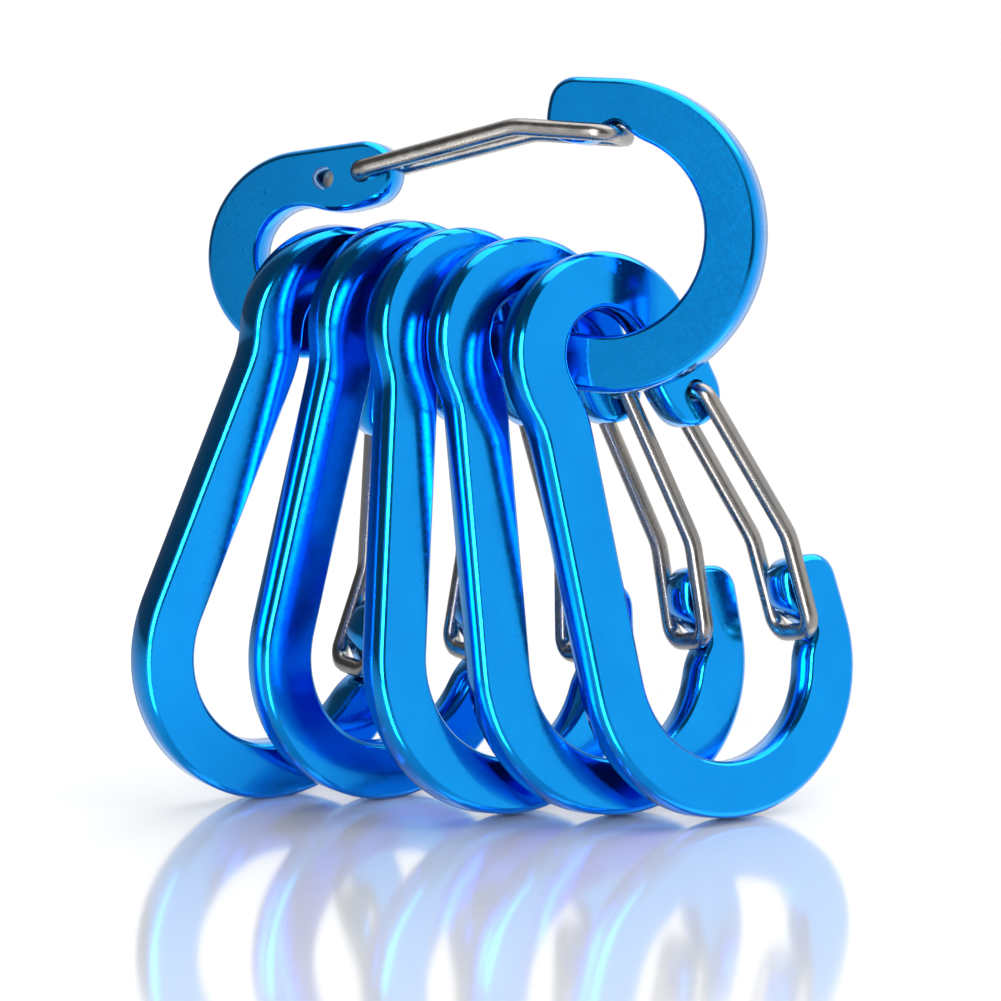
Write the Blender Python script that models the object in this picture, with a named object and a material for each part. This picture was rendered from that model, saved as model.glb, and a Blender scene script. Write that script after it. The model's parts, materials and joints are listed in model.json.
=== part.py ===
"""Carabiner keyring: five flat wire-gate carabiners hung on the straight side of a sixth.

Every carabiner is the same two pieces: a plate cut to a figure-six outline, and a gate bent
from one length of spring wire.  Sizes are in millimetres and angles in degrees until a shape
is handed to Blender, which works in metres.  +X runs along the carrier, +Z is up, and the
five hanging clips stand on their wide ends on the plane z = 0.
"""
import math

import bpy
from mathutils import Matrix, Vector

MM = 0.001

# ---- plate -----------------------------------------------------------------------------
LENGTH = 60.0            # over both round ends
WIDTH = 32.0             # outside of the wide loop
THICKNESS = 4.0
BAND = 5.8               # width of the metal, all the way round
EDGE = 0.6               # bevel on every edge
CROSSING = 38.0          # turn of the carrier's bar away from square to a clip
THREAD_PLAY = 0.4        # space left around the bar inside a small loop
SHOULDER = 1.4           # how far the small loop stands out past the straight side
NECK_RADIUS = 8.0        # hollow between the small loop and the straight side
FACET_SAG = 0.06         # how far a straight facet may cut inside a true arc

# ---- lobe that carries the gate ----------------------------------------------------------
LOBE_ANGLE = -31.0       # where the lobe is centred on the small loop's outer circle
LOBE_RADIUS = 3.35
THROAT_REACH = 2.0       # handles of the curve from the lobe into the small loop
THROAT_START = -160.0    # where the curve leaves the lobe
THROAT_END = -12.0       # and where it meets the small loop's inner circle
HOLE_DIAMETER = 2.6
TIP_HOLE_OFFSET = (0.15, 0.25)   # hole nearest the lobe's tip, from the lobe's centre
FAR_HOLE_ANGLE = -8.5    # the other hole, around the small loop's centre
FAR_HOLE_OUT = 0.3       # and outside the middle of the band

# ---- wire gate ------------------------------------------------------------------------------
WIRE = 1.9               # diameter
WIRE_GAP = 0.35          # between the wire and the plate
NEST_RISE = 1.0          # closed end of the gate above the wide loop's centre
KNEE_RISE = 10.3         # knee above the closed end
KNEE_BACK = 0.7          # knee nearer the straight side than the closed end
BEND_RADIUS = 1.9        # middle line of the tight bends
KNEE_RADIUS = 6.0
TIP_DEPTH = 1.8          # how deep the front tip goes into its hole

# ---- nose -----------------------------------------------------------------------------------
NOSE_TOP = 8.7           # end of the nose above the wide loop's centre
NOSE_CORNER = 2.7        # rounding of its outer corner
NOSE_INSET = 0.5         # outer corner in from the full width
TONGUE_RADIUS = 2.2      # rounded tongue that stands in behind the gate
TONGUE_IN = 0.8          # tongue centre out from the gate's closed end
TONGUE_RISE = 3.9        # lower centre of the tongue above the gate's closed end
TONGUE_TURN = 235.0      # how far the tongue curls towards the nest
NEST_ARC = (75.0, -60.0) # part of a circle around the gate's closed end that is cut out
NEST_LIP = -10.0         # where the wide loop's inner circle ends below the nest

# ---- how the set is put together ---------------------------------------------------------
CARRIER_LEAN = -10.5     # top of the carrier back from upright
CARRIER_DROOP = 0.0338    # slope of the bar beyond the slope of the row of small loops
LAST_STATION = -0.75     # where clip_5 crosses the bar, along it from the wide loop's centre
# Each hanging clip: room left between its plate and the next one towards clip_5, as a share
# of the gate's wire and gap, how far its small loop sits across from the bar (mm), then
# turn, lean and swing of its plate.
CLIPS = {
    "clip_1": (0.69, -0.25, 53.8, 0.4, -24.7),
    "clip_2": (0.935, -0.4, 55.55, -0.9, -15.8),
    "clip_3": (0.48, 0.75, 55.7, -10.1, -9.9),
    "clip_4": (1.13, -0.1, 51.55, -11.45, -1.0),
    "clip_5": (0.0, -0.15, 52.0, -12.2, 6.1),
}
BAR_HEIGHT_PLAY = -0.6   # mean height of the bar above the small loops' centres

# ---- finishes: linear colour, metallic, roughness --------------------------------------------
ANODISED_BLUE = ((0.01, 0.23, 0.72, 1.0), 1.0, 0.28)
SPRING_STEEL = ((0.48, 0.46, 0.43, 1.0), 1.0, 0.32)

# ---- sizes that follow from the ones above ---------------------------------------------------
HALF = THICKNESS / 2
WIDE = WIDTH / 2
BAR_ACROSS = HALF * (1 + math.sin(math.radians(CROSSING))) / math.cos(math.radians(CROSSING))
SMALL_HOLE = math.hypot(BAR_ACROSS - EDGE / 2, BAND / 2 - EDGE / 2) + THREAD_PLAY
SMALL = SMALL_HOLE + BAND
SMALL_CENTRE = Vector((SMALL - WIDE - SHOULDER, LENGTH - WIDE - SMALL))
BAR_MIDDLE = BAND / 2 - WIDE
LEG_HEIGHT = HALF + WIRE_GAP + WIRE / 2
NEST = Vector((WIDE - BAND, NEST_RISE))
KNEE = NEST + Vector((-KNEE_BACK, KNEE_RISE))


def on_circle(centre, radius, angle):
    return Vector(centre) + radius * Vector((math.cos(math.radians(angle)), math.sin(math.radians(angle))))


LOBE_CENTRE = on_circle(SMALL_CENTRE, SMALL, LOBE_ANGLE)
TIP_HOLE = LOBE_CENTRE + Vector(TIP_HOLE_OFFSET)
FAR_HOLE = on_circle(SMALL_CENTRE, SMALL_HOLE + BAND / 2 + FAR_HOLE_OUT, FAR_HOLE_ANGLE)
BACK_LEG_WAY = (FAR_HOLE - KNEE).normalized()


def arc(centre, radius, start, end):
    """Points along an arc, close enough together that no facet cuts in past FACET_SAG."""
    step = 2 * math.degrees(math.acos(1 - min(FACET_SAG / radius, 0.5)))
    count = max(2, math.ceil(abs(end - start) / step))
    return [on_circle(centre, radius, start + (end - start) * i / count) for i in range(count + 1)]


def bezier(start, start_handle, end_handle, end, steps=5):
    points = []
    for i in range(1, steps):
        t = i / steps
        points.append((1 - t) ** 3 * start + 3 * (1 - t) ** 2 * t * start_handle
                      + 3 * (1 - t) * t ** 2 * end_handle + t ** 3 * end)
    return points


def neck(small_radius, side, radius):
    """Centre and turn of the hollow that joins the small loop to the straight side."""
    centre_x = side - radius
    across = SMALL_CENTRE.x - centre_x
    rise = math.sqrt((small_radius + radius) ** 2 - across ** 2)
    return Vector((centre_x, SMALL_CENTRE.y - rise)), math.degrees(math.atan2(rise, across))


def tangent_angle(centre_a, radius_a, centre_b, radius_b):
    """Angle of the outward normal of the straight line that touches two circles."""
    way = Vector(centre_b) - Vector(centre_a)
    return math.degrees(math.atan2(way.y, way.x) + math.acos((radius_a - radius_b) / way.length))


def plate_outline():
    """Once round the plate's edge, clockwise from the nose; origin at the wide loop's centre."""
    origin = Vector((0, 0))
    corner = Vector((WIDE - NOSE_INSET - NOSE_CORNER, NOSE_TOP - NOSE_CORNER))
    leave_nose = 2 * math.degrees(math.atan2(corner.y, corner.x)) - tangent_angle(
        origin, WIDE, corner, NOSE_CORNER)
    outer_neck, outer_turn = neck(SMALL, -WIDE, NECK_RADIUS)
    leave_loop = tangent_angle(SMALL_CENTRE, SMALL, LOBE_CENTRE, LOBE_RADIUS)
    inner_neck, inner_turn = neck(SMALL_HOLE, BAND - WIDE, NECK_RADIUS + BAND)
    nest_radius = WIRE / 2 + WIRE_GAP
    tongue_top = Vector((NEST.x + TONGUE_IN, NOSE_TOP - TONGUE_RADIUS))
    tongue_low = Vector((NEST.x + TONGUE_IN, NEST.y + TONGUE_RISE))

    points = arc(corner, NOSE_CORNER, 90, leave_nose)
    points += arc(origin, WIDE, leave_nose, -180)
    points += arc(outer_neck, NECK_RADIUS, 0, outer_turn)
    points += arc(SMALL_CENTRE, SMALL, outer_turn + 180, leave_loop)
    points += arc(LOBE_CENTRE, LOBE_RADIUS, leave_loop, THROAT_START)
    start, end = points[-1], on_circle(SMALL_CENTRE, SMALL_HOLE, THROAT_END)
    start_way = on_circle((0, 0), THROAT_REACH, THROAT_START - 90)
    end_way = on_circle((0, 0), THROAT_REACH, THROAT_END - 90)
    points += bezier(start, start + start_way, end + end_way, end)
    points += arc(SMALL_CENTRE, SMALL_HOLE, THROAT_END, inner_turn + 180)
    points += arc(inner_neck, NECK_RADIUS + BAND, inner_turn, 0)
    points += arc(origin, WIDE - BAND, 180, 360 + NEST_LIP)
    points += arc(NEST, nest_radius, NEST_ARC[1], NEST_ARC[0])
    points += arc(tongue_low, TONGUE_RADIUS, TONGUE_TURN, 180)
    points += arc(tongue_top, TONGUE_RADIUS, 180, 90)
    apart = [points[0]]
    for point in points[1:]:
        if (point - apart[-1]).length > FACET_SAG:
            apart.append(point)
    return apart


def circle_outline(centre, radius):
    return arc(centre, radius, 0, 360)[:-1]


def rounded_path(corners):
    """A path through (point, bend radius) corners, with each corner turned as an arc."""
    points = [corners[0][0]]
    for (before, _), (here, radius), (after, _) in zip(corners, corners[1:], corners[2:]):
        back = (before - here).normalized()
        ahead = (after - here).normalized()
        half = back.angle(ahead) / 2
        middle = here + (back + ahead).normalized() * radius / math.sin(half)
        spoke = here + back * radius / math.tan(half) - middle
        axis = back.cross(ahead)
        turn = math.pi - 2 * half
        steps = max(2, round(math.degrees(turn) / 22.5))
        for i in range(steps + 1):
            points.append(middle + Matrix.Rotation(-turn * i / steps, 3, axis) @ spoke)
    points.append(corners[-1][0])
    return points


def gate_corners():
    """Middle line of the gate, from the front tip round the closed end to the back leg."""
    def at(point, height):
        return Vector((point.x, point.y, height))
    top, back = LEG_HEIGHT, -LEG_HEIGHT
    return [
        (at(TIP_HOLE, HALF - TIP_DEPTH), 0),
        (at(TIP_HOLE, top), WIRE / 2 + 0.05),
        (at(KNEE, top), KNEE_RADIUS),
        (at(NEST, top), BEND_RADIUS),
        (at(NEST, back), BEND_RADIUS),
        (at(KNEE, back), KNEE_RADIUS),
        (at(FAR_HOLE + WIRE / 2 * BACK_LEG_WAY, back), 0),
    ]


def material(name, finish):
    colour, metallic, roughness = finish
    made = bpy.data.materials.new(name)
    made.use_nodes = True
    shader = made.node_tree.nodes["Principled BSDF"]
    shader.inputs["Base Color"].default_value = colour
    shader.inputs["Metallic"].default_value = metallic
    shader.inputs["Roughness"].default_value = roughness
    return made


def add_spline(curve, points, cyclic):
    spline = curve.splines.new("POLY")
    spline.points.add(len(points) - 1)
    for point, place in zip(spline.points, points):
        x, y, z = (Vector(place).to_3d() * MM)
        point.co = (x, y, z, 1)
    spline.use_cyclic_u = cyclic


def plate_curve():
    """The plate in its own XY plane, with its origin at the small loop's centre."""
    curve = bpy.data.curves.new("plate", "CURVE")
    curve.dimensions = "2D"
    curve.fill_mode = "BOTH"
    curve.extrude = (HALF - EDGE) * MM
    curve.bevel_depth = EDGE * MM
    curve.bevel_resolution = 0
    curve.offset = -EDGE * MM
    outlines = [plate_outline()]
    outlines += [circle_outline(hole, HOLE_DIAMETER / 2) for hole in (TIP_HOLE, FAR_HOLE)]
    for outline in outlines:
        add_spline(curve, [point - SMALL_CENTRE for point in outline], cyclic=True)
    return curve


def gate_curve():
    """The gate in its plate's frame, with its origin in the middle of the tip hole."""
    curve = bpy.data.curves.new("gate", "CURVE")
    curve.dimensions = "3D"
    curve.bevel_depth = WIRE / 2 * MM
    curve.bevel_resolution = 2
    curve.use_fill_caps = True
    pivot = TIP_HOLE.to_3d()
    add_spline(curve, [point - pivot for point in rounded_path(gate_corners())], cyclic=False)
    return curve


def add_object(name, data, collection, finish):
    made = bpy.data.objects.new(name, data)
    made.data.materials.clear()
    made.data.materials.append(material(name, finish))
    collection.objects.link(made)
    return made


def add_carabiner(name, collection):
    """A plate with its gate hinged on it.  Both move when the plate moves."""
    plate = add_object(name + "_frame", plate_curve(), collection, ANODISED_BLUE)
    gate = add_object(name + "_gate", gate_curve(), collection, SPRING_STEEL)
    gate.parent = plate
    gate.location = (TIP_HOLE - SMALL_CENTRE).to_3d() * MM
    return plate


def stand_up(turn, lean, swing):
    """Plate upright and facing -Y, swung in its own plane, then leaned and turned."""
    upright = Matrix.Rotation(math.pi / 2, 4, "X")
    return (Matrix.Rotation(math.radians(turn), 4, "Z") @ Matrix.Rotation(math.radians(lean), 4, "X")
            @ upright @ Matrix.Rotation(math.radians(swing), 4, "Z"))


def world_points(plate):
    """Corners of a plate's and its gate's finished surface, in the world."""
    bpy.context.view_layer.update()
    graph = bpy.context.evaluated_depsgraph_get()
    points = []
    for piece in (plate, *plate.children):
        shown = piece.evaluated_get(graph)
        mesh = shown.to_mesh()
        points += [piece.matrix_world @ vertex.co for vertex in mesh.vertices]
        shown.to_mesh_clear()
    return points


def stations():
    """Where each clip crosses the carrier's bar.  Plates and gate wires are stacked along it."""
    found = {}
    station = LAST_STATION
    for name, (room, *_) in reversed(CLIPS.items()):
        if found:
            station += (THICKNESS + room * (WIRE + WIRE_GAP)) / math.cos(math.radians(CROSSING))
        found[name] = station
    return found


def carrier_turn(crossing_at, heights):
    """Turn of the carrier that lays its bar along the heights the small loops ask for."""
    middle = sum(crossing_at.values()) / len(crossing_at)
    level = sum(heights.values()) / len(heights)
    rise = sum((crossing_at[name] - middle) * (heights[name] - level) / MM for name in heights)
    slope = rise / sum((place - middle) ** 2 for place in crossing_at.values())
    return math.degrees(math.acos((slope + CARRIER_DROOP) / math.cos(math.radians(CARRIER_LEAN))))


def hang_clips(carrier, clips):
    """Stand every clip on z = 0 with the carrier's bar through its small loop."""
    crossing_at = stations()
    poses = {}
    heights = {}
    for name, plate in clips.items():
        _, across, turn, lean, swing = CLIPS[name]
        way = stand_up(turn, lean, swing)
        plate.matrix_world = way
        stand = -min(point.z for point in world_points(plate))
        side = way @ Vector((across * MM, 0, 0))
        poses[name] = (way, stand, side)
        heights[name] = stand + side.z
    turned = stand_up(0, CARRIER_LEAN, carrier_turn(crossing_at, heights))
    bars = {}
    for name in clips:
        crossing = Vector((BAR_MIDDLE, crossing_at[name]))
        bars[name] = turned @ (crossing - SMALL_CENTRE).to_3d() * MM
    lift = sum(heights[name] - bars[name].z for name in clips) / len(clips) + BAR_HEIGHT_PLAY * MM
    carrier.matrix_world = Matrix.Translation((0, 0, lift)) @ turned
    for name, plate in clips.items():
        # drop is how far along the plate's own length the bar ends up in its small loop
        way, stand, side = poses[name]
        along = way @ Vector((0, 1, 0))
        drop = (bars[name].z + lift - stand - side.z) / along.z
        spot = bars[name] + Vector((0, 0, lift)) - side - along * drop
        plate.matrix_world = Matrix.Translation(spot) @ way


def centre_set(plates):
    """Put the middle of the set's footprint on the Z axis."""
    points = [point for plate in plates for point in world_points(plate)]
    middle = Vector((0, 0, 0))
    for axis in (0, 1):
        values = [point[axis] for point in points]
        middle[axis] = (min(values) + max(values)) / 2
    for plate in plates:
        plate.matrix_world = Matrix.Translation(-middle) @ plate.matrix_world


def clear_scene():
    for old in list(bpy.data.objects):
        bpy.data.objects.remove(old, do_unlink=True)


def build():
    clear_scene()
    collection = bpy.data.collections.new("carabiner_keyring")
    bpy.context.scene.collection.children.link(collection)
    carrier = add_carabiner("carrier", collection)
    clips = {name: add_carabiner(name, collection) for name in CLIPS}
    hang_clips(carrier, clips)
    centre_set([carrier, *clips.values()])
    bpy.context.view_layer.update()


build()
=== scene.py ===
# %% [markdown]
# # Six blue wire-gate carabiners
#
# Five flat carabiners hang side by side on the straight bar of a sixth, and stand on their wide
# ends on a pale glossy table. Each one is two pieces: a plate of blue anodised aluminium cut to
# the outline of a figure six, and a gate bent from a single length of spring wire.
#
# The solids that fit together and move are loaded ready-made. This lesson builds the finer
# surfaces that stand in for them: softened edges, drilled holes, round wire and real finishes.

# %% Load the moving frame
import json
import math

import bmesh
import bpy
from mathutils import Matrix, Vector


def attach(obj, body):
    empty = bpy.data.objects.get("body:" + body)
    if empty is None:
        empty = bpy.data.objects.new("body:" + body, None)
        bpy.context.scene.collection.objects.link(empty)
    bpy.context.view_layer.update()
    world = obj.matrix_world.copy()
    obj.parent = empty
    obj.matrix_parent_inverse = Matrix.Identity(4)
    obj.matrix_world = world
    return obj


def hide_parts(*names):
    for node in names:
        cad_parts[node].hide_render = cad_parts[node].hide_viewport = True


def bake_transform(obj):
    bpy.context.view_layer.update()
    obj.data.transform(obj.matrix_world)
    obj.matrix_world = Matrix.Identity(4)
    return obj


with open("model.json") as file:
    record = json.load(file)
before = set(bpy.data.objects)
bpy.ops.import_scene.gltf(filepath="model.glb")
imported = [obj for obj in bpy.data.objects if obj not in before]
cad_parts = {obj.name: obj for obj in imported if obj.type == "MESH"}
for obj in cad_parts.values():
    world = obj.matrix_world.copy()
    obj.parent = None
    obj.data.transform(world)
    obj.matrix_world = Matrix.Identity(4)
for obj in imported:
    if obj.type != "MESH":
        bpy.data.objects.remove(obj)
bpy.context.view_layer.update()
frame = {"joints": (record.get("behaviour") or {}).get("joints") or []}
joints = {joint["name"]: joint for joint in frame["joints"]}

# %% [markdown]
# ## The sizes of one carabiner
#
# All six are stamped from the same sheet with the same punch, so one set of sizes serves them
# all. They are written in millimetres, the way such a piece is drawn, and are the same values
# that the solids were cut to, so the fine surfaces land exactly where the solids are.

# %% Sizes in millimetres
MM = 0.001
LENGTH = 60.0
WIDE = 16.0            # outer radius of the wide loop
BAND = 5.8             # width of the metal
HALF = 2.0             # half the plate's thickness
SMALL_HOLE = 5.005     # inner radius of the small loop
SMALL = SMALL_HOLE + BAND
SHOULDER = 1.4
SMALL_CENTRE = Vector((SMALL - WIDE - SHOULDER, LENGTH - WIDE - SMALL))
NECK_RADIUS = 8.0
LOBE_RADIUS = 3.35
LOBE_ANGLE = -31.0
HOLE_RADIUS = 1.3
HOLE_EDGE = 0.12       # the tiny break at a drilled hole's rim
NOSE_TOP = 8.7         # height of the open end above the wide loop's centre
NOSE_RADIUS = 2.7
NOSE_INSET = 0.5
TONGUE_RADIUS = 2.2    # the two inner corners of the nose
TONGUE_REACH = 0.8
TONGUE_RISE = 3.9
WIRE = 1.9
WIRE_GAP = 0.35
LEG_HEIGHT = HALF + WIRE_GAP + WIRE / 2
NEST = Vector((WIDE - BAND, 1.0))
KNEE = NEST + Vector((-0.7, 10.3))
KNEE_BEND = 6.0
CLOSED_BEND = 1.9      # the two bends at the gate's closed end
TIP_DEPTH = 1.8        # how far a tip of the wire goes into its hole


def on_circle(centre, radius, angle):
    turn = math.radians(angle)
    return Vector(centre) + radius * Vector((math.cos(turn), math.sin(turn)))


LOBE_CENTRE = on_circle(SMALL_CENTRE, SMALL, LOBE_ANGLE)
TIP_HOLE = LOBE_CENTRE + Vector((0.15, 0.25))
FAR_HOLE = on_circle(SMALL_CENTRE, SMALL_HOLE + BAND / 2 + 0.3, -8.5)
print("small loop centre", tuple(round(v, 2) for v in SMALL_CENTRE), "mm")

# %% [markdown]
# ## The outline of the plate
#
# The outline could be drawn by hand as a Bezier curve, but it is really only circles and straight
# lines that touch, so it is worked out from centres and radii. Each stretch also carries the
# width of its edge: the outside of the band was tumbled until it is well softened, and the
# inside, which the tumbling stones reach less well, kept a tighter edge.

# %% Arcs that know their edge
OUTER_EDGE = 0.62
INNER_EDGE = 0.45
ARC_STEP = 0.25


def arc(centre, radius, start, end, edge):
    count = max(3, math.ceil(abs(math.radians(end - start)) * radius / ARC_STEP))
    stretch = []
    for i in range(count + 1):
        place = on_circle(centre, radius, start + (end - start) * i / count)
        stretch.append((place.x, place.y, edge))
    return stretch


def neck(small_radius, side, radius):
    centre_x = side - radius
    across = SMALL_CENTRE.x - centre_x
    rise = math.sqrt((small_radius + radius) ** 2 - across ** 2)
    return Vector((centre_x, SMALL_CENTRE.y - rise)), math.degrees(math.atan2(rise, across))


def touching_line(centre_a, radius_a, centre_b, radius_b):
    way = Vector(centre_b) - Vector(centre_a)
    return math.degrees(math.atan2(way.y, way.x) + math.acos((radius_a - radius_b) / way.length))


def throat(start, start_way, end_way, end, edge, steps=12):
    stretch = []
    for i in range(1, steps):
        t = i / steps
        place = ((1 - t) ** 3 * start + 3 * (1 - t) ** 2 * t * (start + start_way)
                 + 3 * (1 - t) * t ** 2 * (end + end_way) + t ** 3 * end)
        stretch.append((place.x, place.y, edge))
    return stretch


# %% Once round the plate
def plate_outline():
    corner = Vector((WIDE - NOSE_INSET - NOSE_RADIUS, NOSE_TOP - NOSE_RADIUS))
    corner_turn = math.degrees(math.atan2(corner.y, corner.x))
    leave_nose = 2 * corner_turn - touching_line((0, 0), WIDE, corner, NOSE_RADIUS)
    outer_neck, outer_turn = neck(SMALL, -WIDE, NECK_RADIUS)
    leave_loop = touching_line(SMALL_CENTRE, SMALL, LOBE_CENTRE, LOBE_RADIUS)
    inner_neck, inner_turn = neck(SMALL_HOLE, BAND - WIDE, NECK_RADIUS + BAND)
    lobe_end = -160
    loop_start = -12
    pull = 2.0
    lobe_leave = on_circle(LOBE_CENTRE, LOBE_RADIUS, lobe_end)
    hole_meet = on_circle(SMALL_CENTRE, SMALL_HOLE, loop_start)
    way_out = on_circle((0, 0), pull, lobe_end - 90)
    way_in = on_circle((0, 0), pull, loop_start - 90)
    tongue = NEST.x + TONGUE_REACH

    outline = arc(corner, NOSE_RADIUS, 90, leave_nose, OUTER_EDGE)
    outline += arc((0, 0), WIDE, leave_nose, -180, OUTER_EDGE)
    outline += arc(outer_neck, NECK_RADIUS, 0, outer_turn, OUTER_EDGE)
    outline += arc(SMALL_CENTRE, SMALL, outer_turn + 180, leave_loop, OUTER_EDGE)
    outline += arc(LOBE_CENTRE, LOBE_RADIUS, leave_loop, lobe_end, OUTER_EDGE)
    outline += throat(lobe_leave, way_out, way_in, hole_meet, INNER_EDGE)
    outline += arc(SMALL_CENTRE, SMALL_HOLE, loop_start, inner_turn + 180, INNER_EDGE)
    outline += arc(inner_neck, NECK_RADIUS + BAND, inner_turn, 0, INNER_EDGE)
    outline += arc((0, 0), WIDE - BAND, 180, 350, INNER_EDGE)
    outline += arc(NEST, WIRE / 2 + WIRE_GAP, -60, 75, INNER_EDGE)
    outline += arc((tongue, NEST.y + TONGUE_RISE), TONGUE_RADIUS, 235, 180, INNER_EDGE)
    outline += arc((tongue, NOSE_TOP - TONGUE_RADIUS), TONGUE_RADIUS, 180, 90, OUTER_EDGE)
    return [Vector(point) for point in outline]


# %% [markdown]
# The joins between stretches would pinch where the edge steps inwards, so the outline is walked
# again in even steps and eased a little, as a tumbled corner is.

# %% Even steps and eased corners
OUTLINE_STEP = 0.4


def even_steps(points, step):
    ring = points + [points[0]]
    lengths = [0.0]
    for a, b in zip(ring, ring[1:]):
        lengths.append(lengths[-1] + (b - a).to_2d().length)
    count = round(lengths[-1] / step)
    walked = []
    at = 0
    for i in range(count):
        want = lengths[-1] * i / count
        while lengths[at + 1] < want or lengths[at + 1] - lengths[at] < 1e-9:
            at += 1
        share = (want - lengths[at]) / (lengths[at + 1] - lengths[at])
        walked.append(ring[at].lerp(ring[at + 1], share))
    return walked


def ease(points, rounds):
    for _ in range(rounds):
        points = [(points[i - 1] + 2 * points[i] + points[(i + 1) % len(points)]) / 4
                  for i in range(len(points))]
    return points


outline = ease(even_steps(plate_outline(), OUTLINE_STEP), 3)
print(len(outline), "points round the plate")

# %% [markdown]
# ## From outline to plate
#
# A Bevel modifier gives one width everywhere. Here each ring of the edge is placed one by one
# instead: it steps inwards by the local edge width as it climbs, so the wide outer edge and
# the tighter inner one blend where they meet. Each edge was cut as a slope before it was
# tumbled, so its profile lies between a straight slope and a quarter circle. That nearly
# flat middle is what catches one broad bright line. The two faces are filled between
# the outline and the two drilled holes. They were ground last, so the border of each face
# stays a crisp line.

# %% Sloped edges and ground faces
EDGE_STEPS = 4
SLOPE = 0.6     # 0 is a quarter circle, 1 a straight slope


def inward_ways(points):
    ways = []
    for i in range(len(points)):
        along = (points[(i + 1) % len(points)] - points[i - 1]).to_2d().normalized()
        ways.append(Vector((along.y, -along.x)))
    return ways


def edge_rings(points, ways, half):
    rings = []
    for side in (-1, 1):
        for i in range(EDGE_STEPS + 1):
            part = (i if side > 0 else EDGE_STEPS - i) / EDGE_STEPS
            turn = math.pi / 2 * part
            inwards = SLOPE * part + (1 - SLOPE) * (1 - math.cos(turn))
            up = SLOPE * part + (1 - SLOPE) * math.sin(turn)
            ring = []
            for point, way in zip(points, ways):
                place = point.to_2d() + way * point.z * inwards
                ring.append((place.x, place.y, side * (half - point.z + point.z * up)))
            rings.append(ring)
    return rings


def join_rings(shape, rings):
    made = [[shape.verts.new(Vector(place) * MM) for place in ring] for ring in rings]
    for low, high in zip(made, made[1:]):
        for i in range(len(low)):
            j = (i + 1) % len(low)
            shape.faces.new((low[i], low[j], high[j], high[i]))
    return made[0], made[-1]


def border(ring):
    return list(zip(ring, ring[1:] + ring[:1]))


def circle_points(centre, radius, edge, count=40):
    points = []
    for i in range(count):
        place = on_circle(centre, radius, 360 * i / count)
        points.append(Vector((place.x, place.y, edge)))
    return points


# %% Build the plate's mesh
def plate_mesh():
    shape = bmesh.new()
    centre = SMALL_CENTRE.to_3d()
    loops = [[point - centre for point in outline]]
    for hole in (TIP_HOLE, FAR_HOLE):
        rim = circle_points(hole, HOLE_RADIUS, HOLE_EDGE)
        loops.append([point - centre for point in reversed(rim)])
    bottoms = []
    tops = []
    for points in loops:
        rings = edge_rings(points, inward_ways(points), HALF)
        bottom, top = join_rings(shape, rings)
        bottoms.append(bottom)
        tops.append(top)
    for level in (bottoms, tops):
        edges = [shape.edges.get(pair) for ring in level for pair in border(ring)]
        bmesh.ops.triangle_fill(shape, edges=edges, use_beauty=True)
        for edge in edges:
            edge.smooth = False
    bmesh.ops.recalc_face_normals(shape, faces=shape.faces)
    for face in shape.faces:
        face.smooth = True
    mesh = bpy.data.meshes.new("plate")
    shape.to_mesh(mesh)
    shape.free()
    return mesh


plate = plate_mesh()
print("plate:", len(plate.polygons), "faces")

# %% [markdown]
# ## The wire gate
#
# The gate is one length of spring wire. Its front tip turns into the hole at the end of the
# lobe, the front leg runs down past a knee to the closed end, and the back leg comes up again
# behind the plate to the second hole. A curve with a round bevel is the natural way to make wire.
# Because its two tips sit in two different holes, opening it twists and flexes the wire, and
# that is what springs it shut: there is no separate spring to model. The wire is drawn a
# little thinner than its full size, so that it stays clear of the next plate as a clip swings.

# %% A path with rounded bends
WIRE_TRIM = 0.96


def bent_path(corners, bend_step=9.0):
    path = [corners[0][0]]
    for (before, _), (here, radius), (after, _) in zip(corners, corners[1:], corners[2:]):
        back = (before - here).normalized()
        ahead = (after - here).normalized()
        half = back.angle(ahead) / 2
        middle = here + (back + ahead).normalized() * radius / math.sin(half)
        spoke = here + back * radius / math.tan(half) - middle
        turn = math.pi - 2 * half
        steps = max(3, round(math.degrees(turn) / bend_step))
        for i in range(steps + 1):
            path.append(middle + Matrix.Rotation(-turn * i / steps, 3, back.cross(ahead)) @ spoke)
    path.append(corners[-1][0])
    return path


def spaced(path, longest):
    filled = [path[0]]
    for a, b in zip(path, path[1:]):
        count = max(1, math.ceil((b - a).length / longest))
        filled += [a.lerp(b, (i + 1) / count) for i in range(count)]
    return filled


# %% Bend the wire
def wire_path():
    tight = WIRE / 2 + 0.25
    corners = [
        (TIP_HOLE.to_3d() + Vector((0, 0, HALF - TIP_DEPTH)), 0),
        (TIP_HOLE.to_3d() + Vector((0, 0, LEG_HEIGHT)), tight),
        (KNEE.to_3d() + Vector((0, 0, LEG_HEIGHT)), KNEE_BEND),
        (NEST.to_3d() + Vector((0, 0, LEG_HEIGHT)), CLOSED_BEND),
        (NEST.to_3d() - Vector((0, 0, LEG_HEIGHT)), CLOSED_BEND),
        (KNEE.to_3d() - Vector((0, 0, LEG_HEIGHT)), KNEE_BEND),
        (FAR_HOLE.to_3d() - Vector((0, 0, LEG_HEIGHT)), tight),
        (FAR_HOLE.to_3d() - Vector((0, 0, HALF - TIP_DEPTH)), 0),
    ]
    return spaced(bent_path(corners), 1.2)


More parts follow.
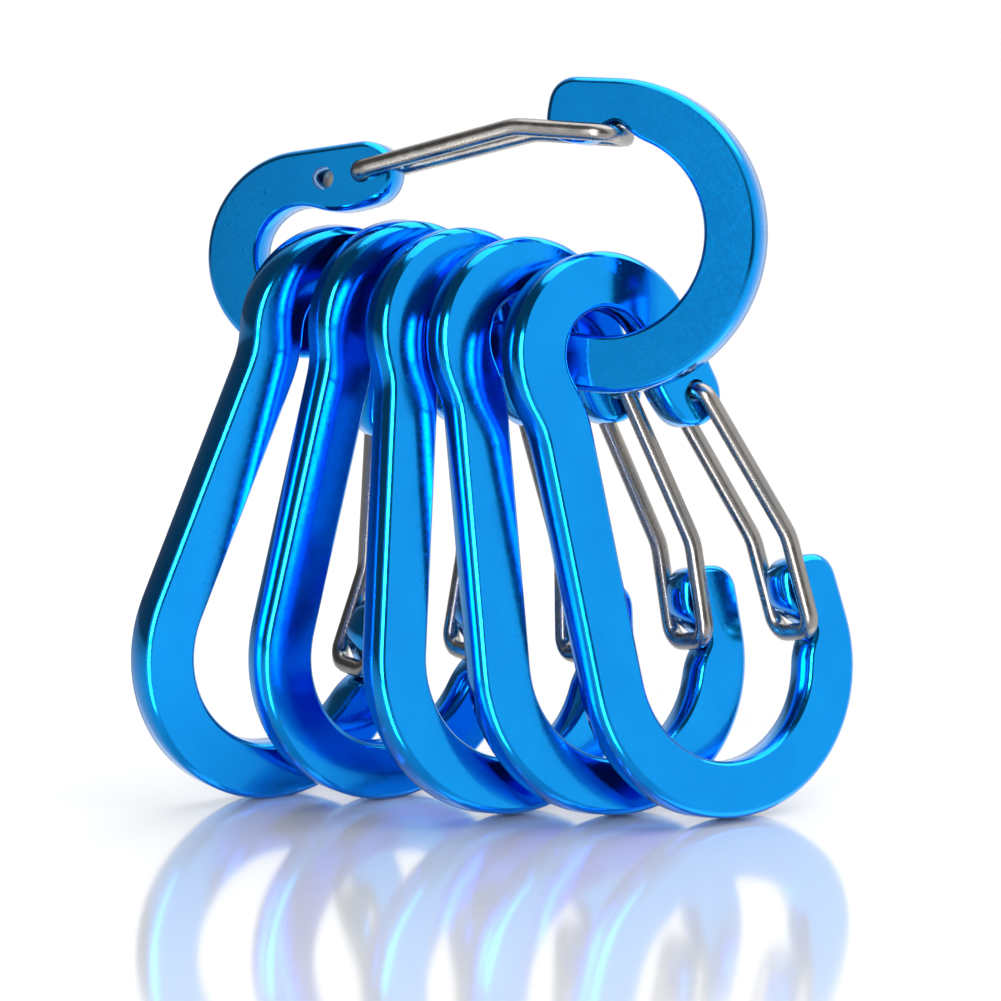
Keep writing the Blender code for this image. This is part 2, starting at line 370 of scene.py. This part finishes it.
def gate_mesh():
    line = bpy.data.curves.new("gate_line", "CURVE")
    line.dimensions = "3D"
    line.bevel_depth = WIRE_TRIM * WIRE / 2 * MM
    line.bevel_resolution = 4
    line.use_fill_caps = True
    spline = line.splines.new("POLY")
    path = wire_path()
    spline.points.add(len(path) - 1)
    for point, place in zip(spline.points, path):
        point.co = ((place - SMALL_CENTRE.to_3d()) * MM).to_4d()
    rod = bpy.data.objects.new("gate_line", line)
    bpy.context.scene.collection.objects.link(rod)
    graph = bpy.context.evaluated_depsgraph_get()
    mesh = bpy.data.meshes.new_from_object(rod.evaluated_get(graph))
    bpy.data.objects.remove(rod)
    shape = bmesh.new()
    shape.from_mesh(mesh)
    bmesh.ops.remove_doubles(shape, verts=shape.verts, dist=1e-6)
    for face in shape.faces:
        face.smooth = len(face.verts) == 4
    shape.to_mesh(mesh)
    shape.free()
    return mesh


gate = gate_mesh()
print("gate:", len(gate.polygons), "faces")

# %% [markdown]
# ## Helpers for the finishes
#
# Every finish starts from the Principled shader. Grain, speckle and scratches come from noise
# laid out in the piece's own space, so they stay put on the metal when the piece moves.

# %% Node helpers
def new_finish(name):
    finish = bpy.data.materials.new(name)
    finish.use_nodes = True
    nodes = finish.node_tree.nodes
    links = finish.node_tree.links
    return finish, nodes, links, nodes["Principled BSDF"]


def noise(nodes, links, scale, detail=3.0, rough=0.5, stretch=(1, 1, 1)):
    place = nodes.new("ShaderNodeTexCoord")
    mapping = nodes.new("ShaderNodeMapping")
    mapping.inputs["Scale"].default_value = stretch
    grain = nodes.new("ShaderNodeTexNoise")
    grain.inputs["Scale"].default_value = scale
    grain.inputs["Detail"].default_value = detail
    grain.inputs["Roughness"].default_value = rough
    links.new(place.outputs["Object"], mapping.inputs["Vector"])
    links.new(mapping.outputs["Vector"], grain.inputs["Vector"])
    return grain.outputs["Fac"]


def spread(nodes, links, value, low, high, start=0.3, end=0.7):
    ranged = nodes.new("ShaderNodeMapRange")
    ranged.inputs["From Min"].default_value = start
    ranged.inputs["From Max"].default_value = end
    ranged.inputs["To Min"].default_value = low
    ranged.inputs["To Max"].default_value = high
    links.new(value, ranged.inputs["Value"])
    return ranged.outputs["Result"]


def mix_colour(nodes, links, value, first, second):
    mix = nodes.new("ShaderNodeMix")
    mix.data_type = "RGBA"
    mix.inputs[6].default_value = first
    mix.inputs[7].default_value = second
    links.new(value, mix.inputs[0])
    return mix.outputs[2]


def bump(nodes, links, heights, shader):
    last = None
    for height, strength, distance in heights:
        node = nodes.new("ShaderNodeBump")
        node.inputs["Strength"].default_value = strength
        node.inputs["Distance"].default_value = distance
        links.new(height, node.inputs["Height"])
        if last is not None:
            links.new(last, node.inputs["Normal"])
        last = node.outputs["Normal"]
    links.new(last, shader.inputs["Normal"])


# %% [markdown]
# ## Blue anodising
#
# Anodising is a clear, dyed, glassy skin grown on bright aluminium. Light passes through the dye,
# bounces off the metal and comes back blue, so the colour belongs to the metal's reflection: a
# fully metallic shader with a blue base. The skin also gives a thin white glint of its own,
# which is what a coat does. The sheet was rolled and etched first, so a fine satin grain and
# a scatter of small pits show where light rakes across it.

# %% Anodised blue
def anodised_blue():
    finish, nodes, links, shader = new_finish("anodised_blue")
    cloud = noise(nodes, links, 140.0, 2.0)
    grain = noise(nodes, links, 3200.0, 4.0, 0.6)
    pits = noise(nodes, links, 1500.0, 1.0)
    rolled = noise(nodes, links, 420.0, 3.0, 0.5, (1.0, 0.25, 1.0))
    dye = spread(nodes, links, cloud, 0.0, 1.0)
    colour = mix_colour(nodes, links, dye, (0.0, 0.29, 0.82, 1.0), (0.001, 0.33, 0.88, 1.0))
    links.new(colour, shader.inputs["Base Color"])
    shader.inputs["Metallic"].default_value = 1.0
    links.new(spread(nodes, links, grain, 0.09, 0.17), shader.inputs["Roughness"])
    shader.inputs["Coat Weight"].default_value = 0.13
    shader.inputs["Coat Roughness"].default_value = 0.06
    shader.inputs["Coat IOR"].default_value = 1.6
    bump(nodes, links, [
        (grain, 0.10, 0.00002),
        (rolled, 0.10, 0.00006),
        (spread(nodes, links, pits, 0.0, 1.0, 0.66, 0.78), 0.14, 0.00003),
    ], shader)
    return finish


blue = anodised_blue()
print("finish:", blue.name)

# %% [markdown]
# ## Spring wire
#
# The gate is drawn steel, pulled through a die, so its fine marks run along the wire, and it is
# duller than polished steel. A little warm brown is left from the heat that set its bends.

# %% Spring steel
def spring_steel():
    finish, nodes, links, shader = new_finish("spring_wire")
    drawn = noise(nodes, links, 900.0, 2.0, 0.5, (1.0, 0.08, 1.0))
    heat = noise(nodes, links, 160.0, 2.0)
    tint = spread(nodes, links, heat, 0.0, 1.0, 0.35, 0.7)
    colour = mix_colour(nodes, links, tint, (0.30, 0.295, 0.29, 1.0), (0.37, 0.34, 0.31, 1.0))
    links.new(colour, shader.inputs["Base Color"])
    shader.inputs["Metallic"].default_value = 1.0
    links.new(spread(nodes, links, drawn, 0.22, 0.32), shader.inputs["Roughness"])
    bump(nodes, links, [(drawn, 0.01, 0.00001)], shader)
    return finish


steel = spring_steel()
print("finish:", steel.name)

# %% [markdown]
# ## Put each carabiner in its place
#
# The frame says where everything goes. A clip swings about the middle of its small loop, along
# the normal of its plate, and its gate turns about the hole at the lobe's tip. Those two points
# and that direction fix the plate completely. The carrier doesn't swing, so its own turn and
# lean stand in for the missing point.

# %% Where a plate stands
CARRIER_LEAN = -10.5
CARRIER_TURN = 84.5


def plate_place(centre, tip, normal):
    flat = (TIP_HOLE - SMALL_CENTRE).to_3d().normalized()
    side = Vector((0, 0, 1)).cross(flat)
    seen = (tip - centre).normalized()
    seen_side = normal.cross(seen)
    own = Matrix((flat, side, Vector((0, 0, 1)))).transposed()
    world = Matrix((seen, seen_side, normal)).transposed()
    return Matrix.Translation(centre) @ (world @ own.transposed()).to_4x4()


def clip_place(name):
    swing = joints[name + "_swing"]
    hinge = joints[name + "_gate_hinge"]
    normal = Vector(swing["axis"]).normalized()
    return plate_place(Vector(swing["pos_m"]), Vector(hinge["pos_m"]), normal)


def carrier_place():
    hinge = joints["carrier_gate_hinge"]
    upright = Matrix.Rotation(math.radians(CARRIER_LEAN), 4, "X") @ Matrix.Rotation(math.pi / 2, 4, "X")
    turned = upright @ Matrix.Rotation(math.radians(CARRIER_TURN), 4, "Z")
    tip = turned @ ((TIP_HOLE - SMALL_CENTRE).to_3d() * MM)
    return Matrix.Translation(Vector(hinge["pos_m"]) - tip) @ turned


# %% [markdown]
# The plate simply rides on its body. On the real clip the wire's tips stay in their holes while
# the rest swings in. Here the wire is baked where it stands and is not attached to any body.


def dress(name, place):
    plate_piece = bpy.data.objects.new(name + "_plate", plate)
    gate_piece = bpy.data.objects.new(name + "_wire", gate.copy())
    for piece, finish, node, slot in ((plate_piece, blue, name + "_frame", "anodised_blue"),
                                      (gate_piece, steel, name + "_gate", "spring_wire")):
        bpy.context.scene.collection.objects.link(piece)
        piece.matrix_world = place
        if not piece.data.materials:
            piece.data.materials.append(finish)
        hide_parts(node)
    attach(plate_piece, name)
    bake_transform(gate_piece)
    print(name, "at", tuple(round(v * 1000, 1) for v in place.translation), "mm")


dress("carrier", carrier_place())
for number in range(1, 6):
    dress(f"clip_{number}", clip_place(f"clip_{number}"))

# %% [markdown]
# ## Table
#
# The set stands on a wide sheet of pale glossy acrylic, which gives the soft blue reflection
# under each clip. There is no backdrop: the sheet runs off into a room that is just as white.

# %% A glossy white table
def table_mesh():
    shape = bmesh.new()
    bmesh.ops.create_grid(shape, x_segments=4, y_segments=4, size=4.0)
    mesh = bpy.data.meshes.new("table")
    shape.to_mesh(mesh)
    shape.free()
    return mesh


def glossy_acrylic():
    finish, nodes, links, shader = new_finish("glossy_acrylic")
    cloud = noise(nodes, links, 6.0, 2.0)
    shade = spread(nodes, links, cloud, 0.0, 1.0)
    colour = mix_colour(nodes, links, shade, (0.93, 0.93, 0.93, 1.0), (0.95, 0.95, 0.95, 1.0))
    links.new(colour, shader.inputs["Base Color"])
    shader.inputs["Metallic"].default_value = 0.35
    shader.inputs["Roughness"].default_value = 0.11
    shader.inputs["IOR"].default_value = 1.6
    return finish


table = bpy.data.objects.new("table", table_mesh())
bpy.context.scene.collection.objects.link(table)
table.data.materials.append(glossy_acrylic())
print("stage:", table.name)

# %% [markdown]
# ## Light
#
# Metal shows what is around it, so the room matters more than the lamps. The flat faces look
# towards the right, where the room is white, and mirror it as an even bright blue. The sides of
# the plates look towards the left and the front, where the room is dark, and turn deep navy. A
# tall panel in front draws the bright line along each outer edge, a dim one beside it fills
# the carrier's face, and a broad soft sun stands in for a lit ceiling, so that the whole
# table stays white.

# %% Two front panels and a lit ceiling
def lamp(name, kind, place, aim):
    light = bpy.data.lights.new(name, kind)
    holder = bpy.data.objects.new(name, light)
    holder.location = place
    holder.rotation_euler = (Vector(aim) - Vector(place)).to_track_quat("-Z", "Y").to_euler()
    holder.visible_camera = False
    bpy.context.scene.collection.objects.link(holder)
    return light


def soft_panel(name, place, width, height, power):
    light = lamp(name, "AREA", place, (0.0, 0.0, 0.03))
    light.shape = "RECTANGLE"
    light.size = width
    light.size_y = height
    light.energy = power


soft_panel("edge_panel", (0.03, -1.0, 0.32), 0.36, 0.60, 8.0)
soft_panel("carrier_panel", (-0.32, -0.98, 0.26), 0.36, 0.45, 0.25)

ceiling = lamp("ceiling", "SUN", (0.2, 0.3, 1.0), (0.0, 0.0, 0.0))
ceiling.energy = 1.7
ceiling.angle = math.radians(70)

# %% A room that is white behind and to the right, dark in front and to the left
def room():
    world = bpy.data.worlds.new("room")
    world.use_nodes = True
    nodes = world.node_tree.nodes
    links = world.node_tree.links

    def sum_of(kind, first, second, third=None):
        step = nodes.new("ShaderNodeMath")
        step.operation = kind
        for socket, value in zip(step.inputs, (first, second, third)):
            if isinstance(value, float):
                socket.default_value = value
            elif value is not None:
                links.new(value, socket)
        return step.outputs["Value"]

    way = nodes.new("ShaderNodeTexCoord")
    parts = nodes.new("ShaderNodeSeparateXYZ")
    links.new(way.outputs["Generated"], parts.inputs["Vector"])
    lifted = sum_of("MULTIPLY_ADD", parts.outputs["Z"], 0.55, parts.outputs["X"])
    bright = sum_of("MULTIPLY_ADD", parts.outputs["Y"], 1.5, lifted)
    level = spread(nodes, links, bright, 0.10, 1.0, 0.0, 0.75)
    seen = nodes.new("ShaderNodeLightPath")
    background = nodes["Background"]
    background.inputs["Color"].default_value = (1.0, 1.0, 1.0, 1.0)
    links.new(sum_of("MAXIMUM", seen.outputs["Is Camera Ray"], level), background.inputs["Strength"])
    return world


bpy.context.scene.world = room()
bpy.context.scene.view_settings.view_transform = "Standard"

# %% [markdown]
# ## Camera
#
# A long lens from a little above the table keeps the five clips nearly parallel, as a product
# view does. It looks along the row from its right-hand end.

# %% Camera
lens = bpy.data.cameras.new("camera")
lens.lens = 156.8
lens.sensor_width = 36.0
lens.clip_start = 0.02
lens.clip_end = 20.0
camera = bpy.data.objects.new("camera", lens)
camera.location = (0.15985, -0.41251, 0.1127)
look = Vector((-0.0039, 0.01141, 0.0300)) - camera.location
camera.rotation_euler = look.to_track_quat("-Z", "Y").to_euler()
bpy.context.scene.collection.objects.link(camera)
bpy.context.scene.camera = camera
print("camera", round(look.length * 1000), "mm away")
